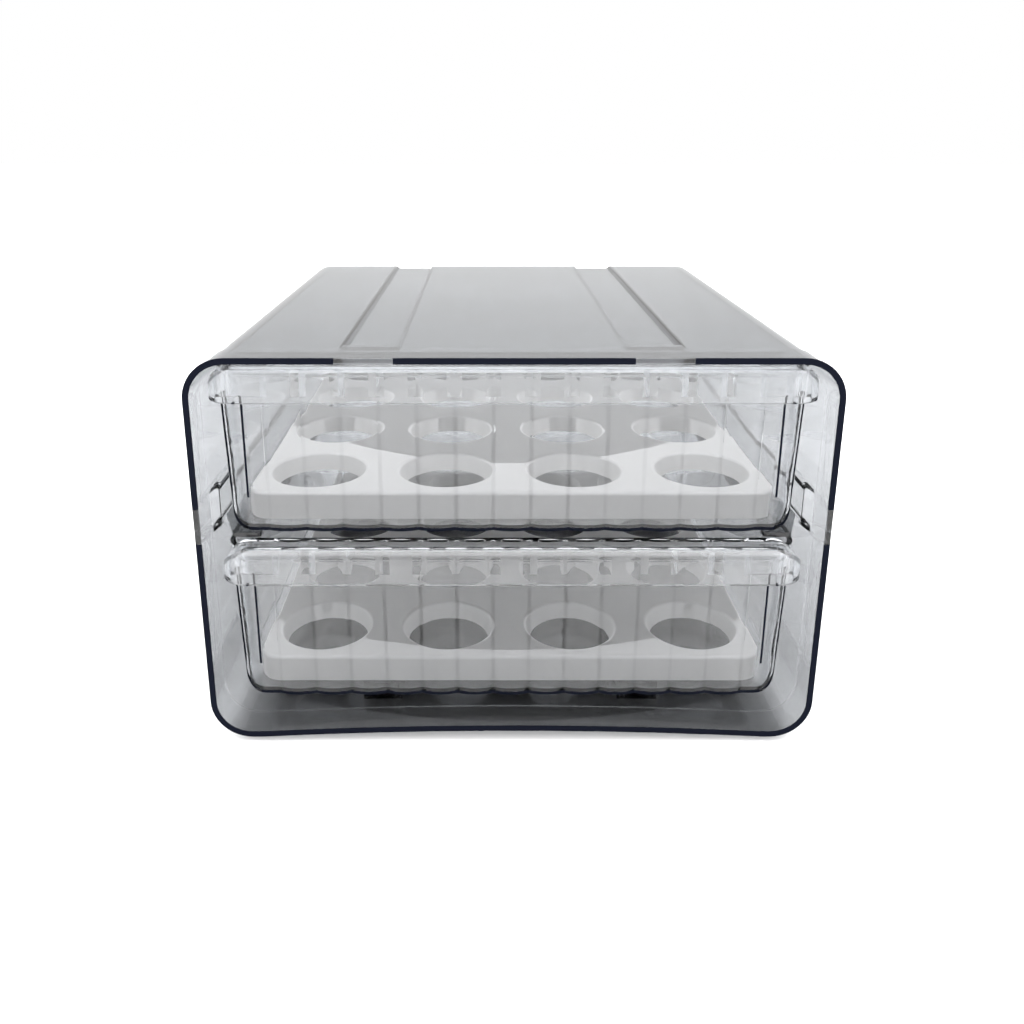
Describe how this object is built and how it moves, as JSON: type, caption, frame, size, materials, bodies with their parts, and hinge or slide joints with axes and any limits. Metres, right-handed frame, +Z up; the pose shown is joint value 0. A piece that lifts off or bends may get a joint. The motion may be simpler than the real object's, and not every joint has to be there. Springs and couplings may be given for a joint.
{
  "type": "two drawer egg storage box",
  "caption": "Clear smoke-grey refrigerator egg box: an open-fronted case with two stacked fluted drawers, each with a hooded pull lip and a loose white perforated egg tray.",
  "frame": {"origin": "under the middle of the box, on the surface its feet stand on", "axes": "+X to the right seen from the open front, +Y from the open front to the closed back, +Z up"},
  "size_m": [0.211, 0.209, 0.1403],
  "materials": {
    "smoke_clear_plastic": "polished, clear, lightly smoke-tinted",
    "white_plastic": "satin moulded"
  },
  "bodies": {
    "case": {"outer_case": "smoke_clear_plastic"},
    "upper_drawer": {"upper_drawer": "smoke_clear_plastic"},
    "lower_drawer": {"lower_drawer": "smoke_clear_plastic"},
    "upper_tray": {"upper_egg_tray": "white_plastic"},
    "lower_tray": {"lower_egg_tray": "white_plastic"}
  },
  "joints": [
    {"name": "upper_drawer_slide", "type": "slide", "parent": "case", "child": "upper_drawer", "axis": [0, -1, 0], "range_m": [0, 0.185]},
    {"name": "lower_drawer_slide", "type": "slide", "parent": "case", "child": "lower_drawer", "axis": [0, -1, 0], "range_m": [0, 0.185]},
    {"name": "upper_tray_lift", "type": "slide", "parent": "upper_drawer", "child": "upper_tray", "axis": [0, 0, 1], "range_m": [0, 0.04]},
    {"name": "lower_tray_lift", "type": "slide", "parent": "lower_drawer", "child": "lower_tray", "axis": [0, 0, 1], "range_m": [0, 0.04]}
  ]
}
